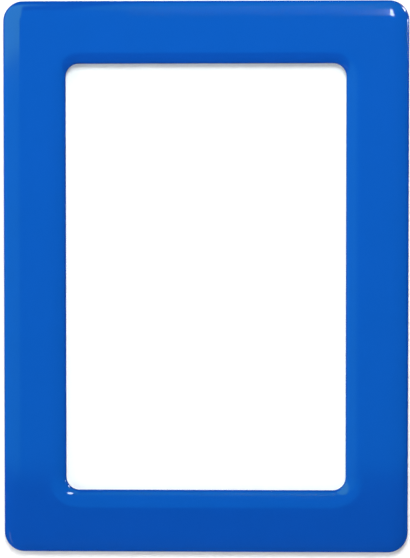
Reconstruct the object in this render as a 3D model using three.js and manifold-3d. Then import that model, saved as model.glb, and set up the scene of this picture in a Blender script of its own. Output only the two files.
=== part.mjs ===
// Magnetic document pocket: a glossy moulded frame bonded over a clear pocket that is open at the
// top. Magnet strips sealed between the pocket's two sheets hold it to a steel surface.
// Millimetres. X is the width, Z the height, and the front looks along -Y. The origin is the
// middle of the flat back, which lies against the steel.

import * as THREE from 'three';
import { mergeVertices } from 'three/addons/utils/BufferGeometryUtils.js';
import Module from 'manifold-3d';

// Outline, seen from the front
const pocketWidth = 136.5;
const pocketHeight = 186;
const borderWidth = 21;
const windowCornerRadius = 4.4;

// Section of the frame
const frameDepth = 2.4;
const rimHeight = 0.6; // upright edge below the rolled slope
const rollWidth = 6; // rolled slope between the rim and the flat of the border
const flatCornerRadius = 0.8; // corner of the flat of the border, where the roll starts
const skinThickness = 0.8; // wall over the hollow underside
const seatWidth = 1.6; // land that is bonded to the window sheet, along both edges
const hollowRimHeight = 0.3; // upright edge inside the hollow

// Clear sheets and what lies between them
const filmThickness = 0.3;
const filmInset = 0.5; // the sheets stop short of the frame's edge by this
const glueLine = 0.05;
const stripThickness = 1;
const stripMargin = 1.5; // from a sheet's edge to a magnet strip
const stripCornerRadius = 0.8;
const stripEndGap = 0.4; // between the bottom strip and the side strips
const sideLap = 6.3; // how far the pocket reaches behind the border at each side
const bottomLap = 2.5; // and below the window

// Thumb notch in the back sheet's top edge
const notchRadius = 9;
const notchFillet = 2.5;

// Fineness of the curves: an arc gets twice this many facets
const arcFineness = 7;
const rollFacets = 9;

// Worked out from the sizes above
const windowWidth = pocketWidth - 2 * borderWidth;
const windowHeight = pocketHeight - 2 * borderWidth;
const outerCornerRadius = flatCornerRadius + rollWidth;
const filmWidth = pocketWidth - 2 * filmInset;
const filmHeight = pocketHeight - 2 * filmInset;
const filmCornerRadius = outerCornerRadius - filmInset;
const stripsBack = filmThickness + glueLine;
const windowSheetBack = stripsBack + stripThickness + glueLine;
const frameBack = windowSheetBack + filmThickness + glueLine;

const wasm = await Module();
wasm.setup();

// Every shape is drawn as seen from the front, and thickens towards the viewer.

function roundedRectangle(PathClass, width, height, radius) {
  const x = width / 2 - radius;
  const y = height / 2 - radius;
  const path = new PathClass();
  path.absarc(x, y, radius, 0, Math.PI / 2);
  path.absarc(-x, y, radius, Math.PI / 2, Math.PI);
  path.absarc(-x, -y, radius, Math.PI, Math.PI * 1.5);
  path.absarc(x, -y, radius, Math.PI * 1.5, Math.PI * 2);
  path.closePath();
  return path;
}

function flatPiece(shape, thickness) {
  const geometry = new THREE.ExtrudeGeometry(shape, {
    depth: thickness,
    curveSegments: arcFineness,
    bevelEnabled: false,
  });
  return bareGeometry(geometry);
}

// Only positions, with shared vertices merged
function bareGeometry(geometry) {
  geometry.deleteAttribute('normal');
  geometry.deleteAttribute('uv');
  return mergeVertices(geometry, 1e-4);
}

function solidFrom(geometry) {
  const bare = bareGeometry(geometry);
  const mesh = new wasm.Mesh({
    numProp: 3,
    vertProperties: Float32Array.from(bare.getAttribute('position').array),
    triVerts: Uint32Array.from(bare.getIndex().array),
  });
  return new wasm.Manifold(mesh);
}

function geometryFrom(solid) {
  const mesh = solid.getMesh();
  const geometry = new THREE.BufferGeometry();
  geometry.setAttribute('position', new THREE.BufferAttribute(mesh.vertProperties, 3));
  geometry.setIndex(new THREE.BufferAttribute(mesh.triVerts, 1));
  return geometry;
}

// A ring between the frame's two outlines, each moved into the border by inset. Its front edges
// roll over in a quarter of an ellipse, and so do its back edges, which are cut off later.
function rolledRing(inset, rim, roll, height) {
  const radius = outerCornerRadius - inset;
  const ring = roundedRectangle(
    THREE.Shape, pocketWidth - 2 * inset, pocketHeight - 2 * inset, radius);
  ring.holes.push(roundedRectangle(
    THREE.Path, windowWidth + 2 * inset, windowHeight + 2 * inset, windowCornerRadius + inset));
  return solidFrom(new THREE.ExtrudeGeometry(ring, {
    depth: rim,
    curveSegments: arcFineness,
    bevelThickness: height - rim,
    bevelSize: roll,
    bevelOffset: -roll,
    bevelSegments: rollFacets,
  }));
}

// The frame is moulded in one piece with a hollow underside. The wall keeps its thickness round
// the roll, so the flat of the hollow starts half a wall inside the flat of the front.
function frameGeometry() {
  const outside = rolledRing(0, rimHeight, rollWidth, frameDepth);
  const hollowRoll = rollWidth - seatWidth + skinThickness / 2;
  const hollow = rolledRing(seatWidth, hollowRimHeight, hollowRoll, frameDepth - skinThickness);
  const behind = new THREE.BoxGeometry(2 * pocketWidth, 2 * pocketHeight, 2 * frameDepth);
  behind.translate(0, 0, -frameDepth);
  return geometryFrom(outside.subtract(hollow).subtract(solidFrom(behind)));
}

function windowSheetGeometry() {
  const outline = roundedRectangle(THREE.Shape, filmWidth, filmHeight, filmCornerRadius);
  return flatPiece(outline, filmThickness);
}

// The back sheet's outline runs anticlockwise from its right edge. Each end of the notch turns
// into the top edge by a fillet that touches the notch's circle and the edge.
function backSheetGeometry() {
  const x = filmWidth / 2 - filmCornerRadius;
  const y = filmHeight / 2 - filmCornerRadius;
  const top = filmHeight / 2;
  const filletX = Math.sqrt(notchRadius ** 2 + 2 * notchRadius * notchFillet);
  const turn = Math.atan2(notchFillet, filletX);
  const outline = new THREE.Shape();
  outline.absarc(x, y, filmCornerRadius, 0, Math.PI / 2);
  outline.absarc(filletX, top - notchFillet, notchFillet, Math.PI / 2, Math.PI - turn);
  outline.absarc(0, top, notchRadius, -turn, turn - Math.PI, true);
  outline.absarc(-filletX, top - notchFillet, notchFillet, turn, Math.PI / 2);
  outline.absarc(-x, y, filmCornerRadius, Math.PI / 2, Math.PI);
  outline.absarc(-x, -y, filmCornerRadius, Math.PI, Math.PI * 1.5);
  outline.absarc(x, -y, filmCornerRadius, Math.PI * 1.5, Math.PI * 2);
  outline.closePath();
  return flatPiece(outline, filmThickness);
}

// A magnet strip that fills the box between its left, right, bottom and top edges
function stripGeometry(left, right, bottom, top) {
  const outline = roundedRectangle(THREE.Shape, right - left, top - bottom, stripCornerRadius);
  const geometry = flatPiece(outline, stripThickness);
  return geometry.translate((left + right) / 2, (bottom + top) / 2, 0);
}

const stripOuterX = filmWidth / 2 - stripMargin;
const stripInnerX = windowWidth / 2 + sideLap;
const stripEndZ = filmHeight / 2 - stripMargin;
const pocketFloorZ = -windowHeight / 2 - bottomLap;

// The side strips end short of the sheets' round corners
const sideStripEndZ = stripEndZ - stripMargin;

function rightStripGeometry() {
  return stripGeometry(stripInnerX, stripOuterX, -sideStripEndZ, sideStripEndZ);
}

function leftStripGeometry() {
  return stripGeometry(-stripOuterX, -stripInnerX, -sideStripEndZ, sideStripEndZ);
}

// The document stands on this one
function bottomStripGeometry() {
  const end = stripInnerX - stripEndGap;
  return stripGeometry(-end, end, -stripEndZ, pocketFloorZ);
}

const bluePlastic = { color: 0x0f5abc, roughness: 0.12, metalness: 0 };
const clearFilm = { color: 0xf4f8fa, roughness: 0.08, metalness: 0, transparent: true, opacity: 0.2 };
const magnetRubber = { color: 0x2b2826, roughness: 0.75, metalness: 0 };

// Turns a piece upright and sets it at its distance in front of the steel.
function piece(name, geometry, finish, distance) {
  geometry.rotateX(Math.PI / 2);
  geometry.computeVertexNormals();
  const mesh = new THREE.Mesh(geometry, new THREE.MeshStandardMaterial(finish));
  mesh.name = name;
  mesh.position.y = -distance;
  return mesh;
}

const pocket = new THREE.Group();
pocket.add(
  piece('back_sheet', backSheetGeometry(), clearFilm, 0),
  piece('left_magnet_strip', leftStripGeometry(), magnetRubber, stripsBack),
  piece('right_magnet_strip', rightStripGeometry(), magnetRubber, stripsBack),
  piece('bottom_magnet_strip', bottomStripGeometry(), magnetRubber, stripsBack),
  piece('window_sheet', windowSheetGeometry(), clearFilm, windowSheetBack),
  piece('front_frame', frameGeometry(), bluePlastic, frameBack),
);

export default pocket;
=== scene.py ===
"""A glossy blue magnetic document pocket, held flat against a white wall.

Metres, in the frame's own axes: X is the width, Z the height, and the front looks along -Y.
"""

import math

import bmesh
import bpy
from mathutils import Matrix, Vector


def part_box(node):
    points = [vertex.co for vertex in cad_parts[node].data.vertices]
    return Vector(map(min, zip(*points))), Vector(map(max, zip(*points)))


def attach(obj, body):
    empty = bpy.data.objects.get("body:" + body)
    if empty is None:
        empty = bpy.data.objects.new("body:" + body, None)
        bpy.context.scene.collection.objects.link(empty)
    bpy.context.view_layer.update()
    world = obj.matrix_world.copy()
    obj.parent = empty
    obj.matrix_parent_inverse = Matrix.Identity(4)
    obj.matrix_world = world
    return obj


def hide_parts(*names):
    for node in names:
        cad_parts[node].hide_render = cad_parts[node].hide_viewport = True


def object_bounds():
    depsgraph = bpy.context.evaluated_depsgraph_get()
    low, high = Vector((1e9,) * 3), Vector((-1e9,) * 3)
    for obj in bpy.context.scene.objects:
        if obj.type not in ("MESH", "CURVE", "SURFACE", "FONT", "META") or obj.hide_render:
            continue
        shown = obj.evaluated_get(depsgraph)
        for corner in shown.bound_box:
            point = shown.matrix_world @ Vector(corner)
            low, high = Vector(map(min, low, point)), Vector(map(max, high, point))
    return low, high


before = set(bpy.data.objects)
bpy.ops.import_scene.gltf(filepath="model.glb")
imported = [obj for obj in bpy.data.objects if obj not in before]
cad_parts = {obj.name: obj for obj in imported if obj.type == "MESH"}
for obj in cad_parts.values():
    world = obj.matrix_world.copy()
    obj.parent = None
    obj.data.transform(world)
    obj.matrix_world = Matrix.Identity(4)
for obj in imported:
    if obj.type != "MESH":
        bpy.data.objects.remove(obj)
cad_low, cad_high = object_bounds()

MM = 0.001

# The photograph's frame, and where the pocket lies in it
IMAGE_HEIGHT_PX = 558
IMAGE_CENTRE_PX = (205, 279)
POCKET_HEIGHT_PX = 551.2
POCKET_CENTRE_PX = (205.8, 277.5)

# The moulded frame's section, as the part has it
BORDER = 21 * MM
ROLL = 6 * MM
RIM = 0.6 * MM
FLAT_CORNER_RADIUS = 0.8 * MM
WINDOW_CORNER_RADIUS = 4.4 * MM
SKIN = 0.8 * MM
SEAT = 1.6 * MM
HOLLOW_RIM = 0.3 * MM

# What the section here has besides: a round at the rim's foot and a start of the flat
BASE_ROUND = 0.12 * MM
FLAT_MARGIN = 0.4 * MM

# Steps along the curves
ROLL_STEPS = 28
HOLLOW_STEPS = 16
BASE_ROUND_STEPS = 4
CORNER_STEPS = 32

# Points nearer to a plane than this lie in it, and points nearer to each other are one
ON_PLANE = 1e-6
SAME_POINT = 1e-7

frame_low, frame_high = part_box("front_frame")
POCKET_TOP = frame_high.z
POCKET_SIDE = frame_high.x
WINDOW_TOP = POCKET_TOP - BORDER
WINDOW_SIDE = POCKET_SIDE - BORDER
FRONT_Y = frame_low.y
BASE_Y = frame_high.y


# Nodes


def linear(hex_colour):
    """An sRGB hex colour as linear RGBA."""
    parts = [int(hex_colour[i : i + 2], 16) / 255 for i in (1, 3, 5)]
    return [p / 12.92 if p <= 0.04045 else ((p + 0.055) / 1.055) ** 2.4 for p in parts] + [1]


def add_node(tree, kind, inputs=(), **settings):
    """Adds a node. Each of its inputs gets a value or a link from another node's output."""
    node = tree.nodes.new(kind)
    for name, value in settings.items():
        setattr(node, name, value)
    for key, value in dict(inputs).items():
        if isinstance(value, bpy.types.NodeSocket):
            tree.links.new(value, node.inputs[key])
        else:
            node.inputs[key].default_value = value
    return node


def new_material(name):
    """An empty material, its node tree and its surface socket."""
    material = bpy.data.materials.new(name)
    material.use_nodes = True
    tree = material.node_tree
    tree.nodes.clear()
    return material, tree, tree.nodes.new("ShaderNodeOutputMaterial").inputs["Surface"]


def object_place(tree):
    """The place on the object, in metres."""
    return add_node(tree, "ShaderNodeTexCoord").outputs["Object"]


def noise(tree, place, patch_mm, detail):
    """Noise from 0 to 1 with patches of about this size."""
    scale = 1 / (patch_mm * MM)
    inputs = {"Vector": place, "Scale": scale, "Detail": detail}
    return add_node(tree, "ShaderNodeTexNoise", inputs).outputs["Fac"]


def between(tree, value, low, high, start=0, end=1, **settings):
    """Goes from low to high as value goes from start to end, and no further."""
    inputs = {"Value": value, "From Min": start, "From Max": end, "To Min": low, "To Max": high}
    return add_node(tree, "ShaderNodeMapRange", inputs, **settings).outputs["Result"]


def maths(tree, operation, *values):
    """One calculation on one to three values."""
    inputs = dict(enumerate(values))
    return add_node(tree, "ShaderNodeMath", inputs, operation=operation).outputs[0]


def colour_between(tree, value, low, high):
    """Goes from one hex colour to another as value goes from 0 to 1."""
    inputs = {"Factor": value, 6: linear(low), 7: linear(high)}
    return add_node(tree, "ShaderNodeMix", inputs, data_type="RGBA").outputs[2]


def bumped(tree, height, depth, **under):
    """A normal bent by a pattern of this depth, over the given Normal if there is one."""
    inputs = {"Height": height, "Strength": 1, "Distance": depth, **under}
    return add_node(tree, "ShaderNodeBump", inputs).outputs["Normal"]


def mixed(tree, factor, first, second):
    """The first shader where factor is 0 and the second where it is 1."""
    return add_node(tree, "ShaderNodeMixShader", {0: factor, 1: first, 2: second}).outputs[0]


def glowing(tree, colour, strength):
    """A shader that gives off light."""
    inputs = {"Color": linear(colour), "Strength": strength}
    return add_node(tree, "ShaderNodeEmission", inputs).outputs[0]


# Meshes


def of_kind(geometry, kind):
    """The verts or the edges among the geometry that an operator returns."""
    return [g for g in geometry if isinstance(g, kind)]


def straight(bm, vert, y, z):
    """Draws a line on from vert to a point at the same x, and returns the new end."""
    end = bmesh.ops.extrude_vert_indiv(bm, verts=[vert])["verts"][0]
    end.co = Vector((vert.co.x, y, z))
    return end


def quarter(bm, vert, centre_y, centre_z, turn, steps, squeeze=1):
    """Draws a quarter circle on from vert, squeezed along Y into a quarter of an ellipse."""
    known = set(bm.verts)
    centre = Vector((0, centre_y, centre_z))
    last = bmesh.ops.spin(
        bm, geom=[vert], cent=centre, axis=(1, 0, 0), angle=turn * math.pi / 2, steps=steps
    )["geom_last"]
    new = [v for v in bm.verts if v not in known]
    for v in new:
        v.co.y = centre_y + (v.co.y - centre_y) * squeeze
    return of_kind(last, bmesh.types.BMVert)[0]


def push(bm, edges, step):
    """Extrudes edges by a step, and returns the edges at the far end."""
    new = bmesh.ops.extrude_edge_only(bm, edges=edges)["geom"]
    verts = of_kind(new, bmesh.types.BMVert)
    bmesh.ops.translate(bm, vec=step, verts=verts)
    far = set(verts)
    return [e for e in of_kind(new, bmesh.types.BMEdge) if e.verts[0] in far and e.verts[1] in far]


def settle_order(bm):
    """Puts edges and faces in the order of their vertices. Extrude and spin leave them in an
    order that changes from run to run."""
    bm.verts.index_update()
    for elements in (bm.edges, bm.faces):
        ordered = sorted(elements, key=lambda element: sorted(v.index for v in element.verts))
        for index, element in enumerate(ordered):
            element.index = index
        elements.sort()


def finished(bm, name, material, sharp_degrees):
    """Turns a bmesh into a smooth shaded object at the origin, sharp where it turns by more."""
    settle_order(bm)
    mesh = bpy.data.meshes.new(name)
    for face in bm.faces:
        face.smooth = True
    bm.to_mesh(mesh)
    bm.free()
    mesh.set_sharp_from_angle(angle=math.radians(sharp_degrees))
    mesh.materials.append(material)
    piece = bpy.data.objects.new(name, mesh)
    bpy.context.scene.collection.objects.link(piece)
    return piece


# The moulded frame


def rolled_slope(bm, vert, flat_z, out):
    """The slope from the flat to the rim. It starts level with the flat and ends upright. The
    quarter circle is drawn from a start at its own height, which is then put back."""
    rim_y = BASE_Y - RIM
    vert.co.y = rim_y - ROLL
    squeeze = (rim_y - FRONT_Y) / ROLL
    end = quarter(bm, vert, rim_y, flat_z, -out, ROLL_STEPS, squeeze)
    vert.co.y = FRONT_Y
    return end


def draw_section(bm, edge_z, out):
    """One edge of the border at the middle of the top side: from the flat of the front, over the
    roll and the rim, along the seat and up the hollow. out is 1 at the outer edge and -1 at the
    window. Returns the edges that were drawn."""
    known = set(bm.edges)
    flat_z = edge_z - out * ROLL
    v = bm.verts.new((0, FRONT_Y, flat_z - out * FLAT_MARGIN))
    v = straight(bm, v, FRONT_Y, flat_z)
    v = rolled_slope(bm, v, flat_z, out)

    v = straight(bm, v, BASE_Y - BASE_ROUND, edge_z)
    foot_z = edge_z - out * BASE_ROUND
    v = quarter(bm, v, BASE_Y - BASE_ROUND, foot_z, -out, BASE_ROUND_STEPS)
    v = straight(bm, v, BASE_Y, edge_z - out * SEAT)
    v = straight(bm, v, BASE_Y - HOLLOW_RIM, edge_z - out * SEAT)

    hollow_roll = ROLL - SEAT + SKIN / 2
    hollow_rise = (BASE_Y - FRONT_Y) - SKIN - HOLLOW_RIM
    hollow_flat_z = edge_z - out * (SEAT + hollow_roll)
    squeeze = hollow_rise / hollow_roll
    v = quarter(bm, v, BASE_Y - HOLLOW_RIM, hollow_flat_z, out, HOLLOW_STEPS, squeeze)
    straight(bm, v, FRONT_Y + SKIN, hollow_flat_z - out * FLAT_MARGIN)
    return [e for e in bm.edges if e not in known]


def sweep_section(bm, edges, corner_x, corner_z):
    """Carries a section from the middle of the top side round one corner to the middle of the
    right side."""
    edges = push(bm, edges, Vector((corner_x, 0, 0)))
    swept = bmesh.ops.spin(
        bm,
        geom=edges + list({v for e in edges for v in e.verts}),
        cent=(corner_x, 0, corner_z),
        axis=(0, 1, 0),
        angle=math.pi / 2,
        steps=CORNER_STEPS,
    )["geom_last"]
    push(bm, of_kind(swept, bmesh.types.BMEdge), Vector((0, 0, -corner_z)))


def close_between(bm, level):
    """Bridges the open edges of the two swept sections that lie at one depth. Edges where the
    quarter is cut stay open for the mirror."""
    rails = []
    for e in bm.edges:
        a, b = (v.co for v in e.verts)
        at_level = max(abs(a.y - level), abs(b.y - level)) < ON_PLANE
        on_cut = min(max(abs(a.x), abs(b.x)), max(abs(a.z), abs(b.z))) < ON_PLANE
        if e.is_boundary and at_level and not on_cut:
            rails.append(e)
    bmesh.ops.bridge_loops(bm, edges=rails)


def moulded_frame(material):
    """The one-piece frame, built as a quarter and mirrored twice."""
    bm = bmesh.new()
    outer_radius = FLAT_CORNER_RADIUS + ROLL
    outer = draw_section(bm, POCKET_TOP, 1)
    sweep_section(bm, outer, POCKET_SIDE - outer_radius, POCKET_TOP - outer_radius)
    inner = draw_section(bm, WINDOW_TOP, -1)
    sweep_section(
        bm, inner, WINDOW_SIDE - WINDOW_CORNER_RADIUS, WINDOW_TOP - WINDOW_CORNER_RADIUS
    )
    close_between(bm, FRONT_Y)
    close_between(bm, FRONT_Y + SKIN)
    for axis in ("X", "Z"):
        everything = bm.verts[:] + bm.edges[:] + bm.faces[:]
        bmesh.ops.mirror(bm, geom=everything, axis=axis, merge_dist=ON_PLANE)
    bmesh.ops.remove_doubles(bm, verts=bm.verts, dist=SAME_POINT)
    bmesh.ops.recalc_face_normals(bm, faces=bm.faces)
    return finished(bm, "moulded_frame", material, sharp_degrees=40)


# Materials of the pocket


def glossy_moulded_pvc():
    """PVC moulded against a polished die: one deep even colour and a wet gloss, with a faint
    long ripple and a fine orange peel that bend the reflections a little."""
    material, tree, surface = new_material("glossy_moulded_pvc")
    place = object_place(tree)
    mottle = noise(tree, place, patch_mm=16, detail=3)
    wipe = noise(tree, place, patch_mm=5, detail=4)
    ripple = bumped(tree, noise(tree, place, patch_mm=22, detail=1), 0.02 * MM)
    peel = noise(tree, place, patch_mm=1.4, detail=2)
    shader = add_node(
        tree,
        "ShaderNodeBsdfPrincipled",
        {
            "Base Color": colour_between(tree, mottle, "#0647A1", "#0849A6"),
            "Roughness": between(tree, wipe, 0.05, 0.09),
            "IOR": 1.53,
            "Normal": bumped(tree, peel, 0.0008 * MM, Normal=ripple),
        },
    )
    tree.links.new(shader.outputs["BSDF"], surface)
    return material


def clear_pvc_film():
    """Calendered clear PVC: all that shows is its sharp gloss, which long waves bend a little.
    The gloss rises from 3 percent face on to a mirror at a grazing look."""
    material, tree, surface = new_material("clear_pvc_film")
    waves = noise(tree, object_place(tree), patch_mm=30, detail=2)
    clear = add_node(tree, "ShaderNodeBsdfTransparent", {"Color": linear("#FDFEFE")})
    gloss = add_node(
        tree,
        "ShaderNodeBsdfGlossy",
        {
            "Color": linear("#FFFFFF"),
            "Roughness": 0.0,
            "Normal": bumped(tree, waves, 0.05 * MM),
        },
    )
    facing = add_node(tree, "ShaderNodeLayerWeight", {"Blend": 0.5}).outputs["Facing"]
    mirror = between(tree, maths(tree, "POWER", facing, 5), 0.03, 1)
    shader = mixed(tree, mirror, clear.outputs["BSDF"], gloss.outputs["BSDF"])
    tree.links.new(shader, surface)
    return material


def ferrite_magnet_rubber():
    """Calendered rubber filled with ferrite powder: near black and matt, with a fine grain and
    faint clouds in its colour."""
    material, tree, surface = new_material("ferrite_magnet_rubber")
    place = object_place(tree)
    grain = noise(tree, place, patch_mm=0.8, detail=4)
    cloud = noise(tree, place, patch_mm=12, detail=3)
    shader = add_node(
        tree,
        "ShaderNodeBsdfPrincipled",
        {
            "Base Color": colour_between(tree, cloud, "#292523", "#38322E"),
            "Roughness": between(tree, grain, 0.55, 0.8),
            "IOR": 1.5,
            "Normal": bumped(tree, grain, 0.04 * MM),
        },
    )
    tree.links.new(shader.outputs["BSDF"], surface)
    return material


def dress(node_name, material):
    """Gives a CAD node its material."""
    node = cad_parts[node_name]
    node.data.materials.clear()
    node.data.materials.append(material)


# The pocket

film = clear_pvc_film()
magnet = ferrite_magnet_rubber()
border = moulded_frame(glossy_moulded_pvc())
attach(border, "root")
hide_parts("front_frame")
for sheet in ("window_sheet", "back_sheet"):
    dress(sheet, film)
for strip in ("left_magnet_strip", "right_magnet_strip", "bottom_magnet_strip"):
    dress(strip, magnet)


# The studio: a white wall that turns into a floor, lamps for the light and cards for the gloss

WALL_Y = cad_high.y + 0.1 * MM
FLOOR_Z = cad_low.z - 350 * MM
SWEEP_WIDTH, SWEEP_DEPTH, SWEEP_TOP, SWEEP_RADIUS = 4.0, 2.0, 2.0, 0.25
SWEEP_STEPS = 24
CARD_STEP_DEGREES = 4
CARD_DISTANCE = 3.0
SKY_DISTANCE = 3.3  # behind the other cards
TENT_RADIUS = 9.0
TENT_BACK_Y = 3.0
CAMERA_DISTANCE = 0.6
CAMERA_DIRECTION = (1.2, 1.7)

# The paper's glow to the eye is painted light, set for four places: behind the window, at its
# top edge, round the pocket, far away.
# It goes over from each to the next: along the band under the window's top edge, across the
# border as parts of the pocket's half width or height, and from the pocket's middle outwards.
WINDOW_GLOW, WINDOW_TOP_GLOW, SHADOW_GLOW, FAR_GLOW = 0.5, 0.24, 0.08, 1
SHADE_BAND = 12 * MM
BORDER_START, BORDER_END = 0.8, 0.97
NEAR_END, FAR_START = 0.14, 0.4

# The world's strength for its light, and to the eye
WORLD_LIGHT, WORLD_WHITE = 0.18, 1


def seen_directly(tree):
    """1 for rays from the camera, also through a clear sheet, and 0 for all others."""
    rays = add_node(tree, "ShaderNodeLightPath").outputs
    return maths(tree, "MAXIMUM", rays["Is Camera Ray"], rays["Is Transmission Ray"])


def white_paper():
    """White paper that keeps the shadow near the pocket and fades to plain white round it. Its
    glow
    to the eye is painted light: a little more behind the window, where the clear sheets take some
    of the light, and less in a band under the window's top edge and round the pocket, where the
    cast shadow falls. From behind it is clear, so that the pocket's back can be seen and lit."""
    material, tree, surface = new_material("white_paper_sweep")
    place = object_place(tree)
    distance = add_node(tree, "ShaderNodeVectorMath", {0: place}, operation="LENGTH")
    fade = between(
        tree,
        distance.outputs["Value"],
        0,
        1,
        NEAR_END,
        FAR_START,
        interpolation_type="SMOOTHSTEP",
    )
    parts = add_node(tree, "ShaderNodeSeparateXYZ", {0: place}).outputs
    across = maths(tree, "DIVIDE", maths(tree, "ABSOLUTE", parts["X"]), POCKET_SIDE)
    up = maths(tree, "DIVIDE", maths(tree, "ABSOLUTE", parts["Z"]), POCKET_TOP)
    outwards = maths(tree, "MAXIMUM", across, up)
    # Painted light: more glow behind the window, less under its top edge and round the pocket
    in_window = between(
        tree, parts["Z"], WINDOW_GLOW, WINDOW_TOP_GLOW, WINDOW_TOP - SHADE_BAND, WINDOW_TOP
    )
    near = between(tree, outwards, in_window, SHADOW_GLOW, BORDER_START, BORDER_END)
    glow = maths(tree, "MULTIPLY", seen_directly(tree), between(tree, fade, near, FAR_GLOW))
    paper = add_node(tree, "ShaderNodeBsdfDiffuse", {"Color": linear("#F4F4F4")})
    light = glowing(tree, "#FFFFFF", glow)
    front = add_node(tree, "ShaderNodeAddShader", {0: paper.outputs["BSDF"], 1: light})
    behind = add_node(tree, "ShaderNodeNewGeometry").outputs["Backfacing"]
    clear = add_node(tree, "ShaderNodeBsdfTransparent")
    shader = mixed(tree, behind, front.outputs["Shader"], clear.outputs["BSDF"])
    tree.links.new(shader, surface)
    return material


def sweep():
    """A wall that turns into a floor by a quarter round. The lamps behind it shine through, and
    the pocket's gloss doesn't show it."""
    left = -SWEEP_WIDTH / 2
    bm = bmesh.new()
    v = bm.verts.new((left, WALL_Y, SWEEP_TOP))
    v = straight(bm, v, WALL_Y, FLOOR_Z + SWEEP_RADIUS)
    v = quarter(bm, v, WALL_Y - SWEEP_RADIUS, FLOOR_Z + SWEEP_RADIUS, -1, SWEEP_STEPS)
    straight(bm, v, -SWEEP_DEPTH, FLOOR_Z)
    push(bm, bm.edges[:], Vector((SWEEP_WIDTH, 0, 0)))
    bmesh.ops.recalc_face_normals(bm, faces=bm.faces)
    wall = max(bm.faces, key=lambda face: face.calc_center_median().z)
    if wall.normal.y > 0:
        bmesh.ops.reverse_faces(bm, faces=bm.faces)
    made = finished(bm, "studio_sweep", white_paper(), sharp_degrees=60)
    made.visible_glossy = False
    made.visible_shadow = False


def white_surround():
    """A white world to the eye, which lights the pocket at a low grey level."""
    world = bpy.data.worlds.new("studio")
    bpy.context.scene.world = world
    world.use_nodes = True
    tree = world.node_tree
    tree.nodes.clear()
    strength = between(tree, seen_directly(tree), WORLD_LIGHT, WORLD_WHITE)
    inputs = {"Color": linear("#FFFFFF"), "Strength": strength}
    light = add_node(tree, "ShaderNodeBackground", inputs)
    output = tree.nodes.new("ShaderNodeOutputWorld")
    tree.links.new(light.outputs["Background"], output.inputs["Surface"])


def direction(azimuth, elevation):
    """A unit vector from the pocket: azimuth is to the right of its front, in degrees."""
    a, e = math.radians(azimuth), math.radians(elevation)
    return Vector((math.sin(a) * math.cos(e), -math.cos(a) * math.cos(e), math.sin(e)))


def soft_box(name, azimuth, elevation, distance, width, height, power):
    """A soft box that looks at the pocket and stays out of its gloss."""
    data = bpy.data.lights.new(name, "AREA")
    data.shape = "RECTANGLE"
    data.size = width
    data.size_y = height
    data.energy = power
    lamp = bpy.data.objects.new(name, data)
    away = direction(azimuth, elevation)
    lamp.location = away * distance
    lamp.rotation_mode = "QUATERNION"
    lamp.rotation_quaternion = away.to_track_quat("Z", "Y")
    lamp.visible_glossy = False
    bpy.context.scene.collection.objects.link(lamp)


def only_in_gloss(made):
    """Keeps a thing out of all but reflections."""
    made.visible_camera = False
    made.visible_diffuse = False
    made.visible_transmission = False
    made.visible_volume_scatter = False
    made.visible_shadow = False


def card_material(name, colour, strength):
    """A plain glowing card that only the frame's softer gloss shows, not the clear film's."""
    material, tree, surface = new_material(name)
    sharp = add_node(tree, "ShaderNodeLightPath").outputs["Is Singular Ray"]
    glow = maths(tree, "MULTIPLY_ADD", sharp, -strength, strength)
    tree.links.new(glowing(tree, colour, glow), surface)
    return material


def card(name, eye, foot, head, turn, colour, strength, distance=CARD_DISTANCE):
    """A glowing card for the gloss. One upright edge runs from foot to head, each an azimuth and
    an elevation seen from eye, and the card curves on from it by turn degrees."""
    bm = bmesh.new()
    corners = []
    for azimuth, elevation in (foot, head):
        far = distance / math.cos(math.radians(elevation))
        corners.append(bm.verts.new(Vector(eye) + direction(azimuth, elevation) * far))
    edge = bm.edges.new(corners)
    bmesh.ops.spin(
        bm,
        geom=corners + [edge],
        cent=eye,
        axis=(0, 0, 1),
        angle=math.radians(turn),
        steps=max(2, round(abs(turn) / CARD_STEP_DEGREES)),
    )
    glow = card_material(name, colour, strength)
    only_in_gloss(finished(bm, name, glow, sharp_degrees=30))


def dark_tent():
    """Dark cloth all round the front, which keeps the gloss deep."""
    bm = bmesh.new()
    bmesh.ops.create_uvsphere(bm, u_segments=48, v_segments=24, radius=TENT_RADIUS)
    bmesh.ops.bisect_plane(
        bm,
        geom=bm.verts[:] + bm.edges[:] + bm.faces[:],
        plane_co=(0, TENT_BACK_Y, 0),
        plane_no=(0, 1, 0),
        clear_outer=True,
    )
    cloth = card_material("dark_cloth", "#222428", 1)
    only_in_gloss(finished(bm, "dark_tent", cloth, sharp_degrees=60))


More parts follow.
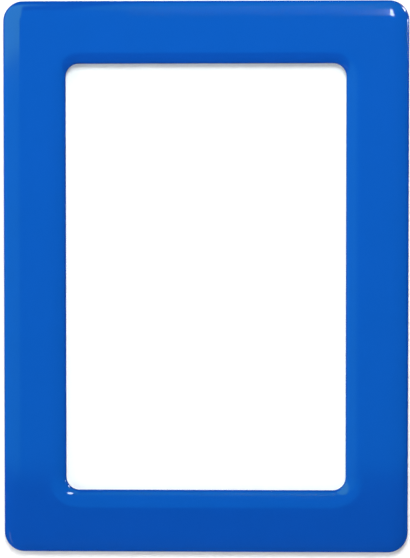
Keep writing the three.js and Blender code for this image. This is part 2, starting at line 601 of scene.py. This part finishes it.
def camera():
    """A long lens straight in front, a little above and to the right of the middle."""
    pixel = (POCKET_TOP * 2) / POCKET_HEIGHT_PX
    away = direction(*CAMERA_DIRECTION)
    aim = Vector(
        (
            (IMAGE_CENTRE_PX[0] - POCKET_CENTRE_PX[0]) * pixel,
            BASE_Y - RIM,
            (POCKET_CENTRE_PX[1] - IMAGE_CENTRE_PX[1]) * pixel,
        )
    )
    data = bpy.data.cameras.new("camera")
    data.lens = data.sensor_width * CAMERA_DISTANCE / (IMAGE_HEIGHT_PX * pixel)
    data.clip_start = 0.01
    made = bpy.data.objects.new("camera", data)
    made.location = aim + away * CAMERA_DISTANCE
    made.rotation_mode = "QUATERNION"
    made.rotation_quaternion = away.to_track_quat("Z", "Y")
    bpy.context.scene.collection.objects.link(made)
    bpy.context.scene.camera = made


sweep()
white_surround()
dark_tent()

# Name, azimuth, elevation, distance, width, height and power
soft_box("key", 4, 32, 0.7, 0.21, 0.3, 4.2)
soft_box("left_fill", -64, 12, 2.0, 1.2, 1.2, 20.0)
soft_box("back_fill", 215, 30, 1.1, 0.8, 0.8, 11.0)

# Name, eye, foot, head, turn, colour and strength. The flat of the border shows the sky card
# down to the bottom side, the slopes show the left and top ones, and the corners the small ones.
middle = (0, FRONT_Y, 0)
top_left = (-POCKET_SIDE, FRONT_Y, POCKET_TOP)
top_right = (POCKET_SIDE, FRONT_Y, POCKET_TOP)
card("upper_left_card", top_left, (-9, 5.1), (-9.5, 48), -66, "#89FFD7", 2.1)
card("left_card", middle, (-11, -9.2), (-11, 6.5), -79, "#41C8FF", 1.55)
card("top_card", middle, (-7, 26), (-7, 62), 58, "#50E7FF", 1.2)
card("sky_card", middle, (-11, -9.1), (-11, 26), 70, "#24A6FF", 1.5, SKY_DISTANCE)
card("lower_left_card", middle, (-50, -38), (-43, -13), 5, "#FFFFFF", 1.2)
card("strip_card", top_right, (5.4, 11), (7.6, 50), 5, "#E8F4FF", 20)
card("rim_card", top_right, (69, 7.0), (69, 8.8), 9, "#FFFFFF", 70)
card("corner_card", top_right, (60, 30), (60, 44), 15, "#FFFFFF", 40)
camera()
bpy.context.scene.view_settings.view_transform = "Standard"

# A look through the pocket and the wall from behind passes more clear faces than the usual 8
bpy.context.scene.cycles.transparent_max_bounces = 16
